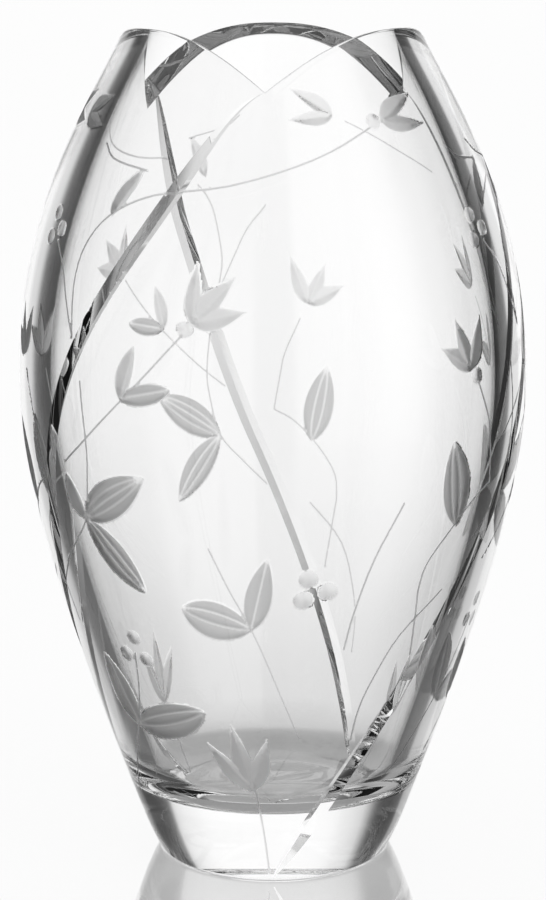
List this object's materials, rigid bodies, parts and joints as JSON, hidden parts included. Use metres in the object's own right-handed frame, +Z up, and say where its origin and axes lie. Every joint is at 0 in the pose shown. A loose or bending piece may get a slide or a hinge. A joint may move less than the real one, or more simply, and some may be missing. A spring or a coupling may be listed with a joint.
{
  "type": "vase",
  "caption": "Tall barrel-shaped vase of heavy clear glass with a lobed, inward-sloping rim, long mitre cuts winding down the wall and a thick solid base.",
  "frame": {"origin": "centre of the flat underside, on the surface that the vase stands on", "axes": "+Z up along the vase's axis, -Y towards the viewer of the picture, +X to the viewer's right"},
  "size_m": [0.1815, 0.1815, 0.3],
  "materials": {
    "clear_glass": "polished colourless crystal, with frosted wheel engraving and polished mitre cuts on the outside"
  },
  "bodies": {
    "root": {"vase_body": "clear_glass"}
  },
  "joints": []
}
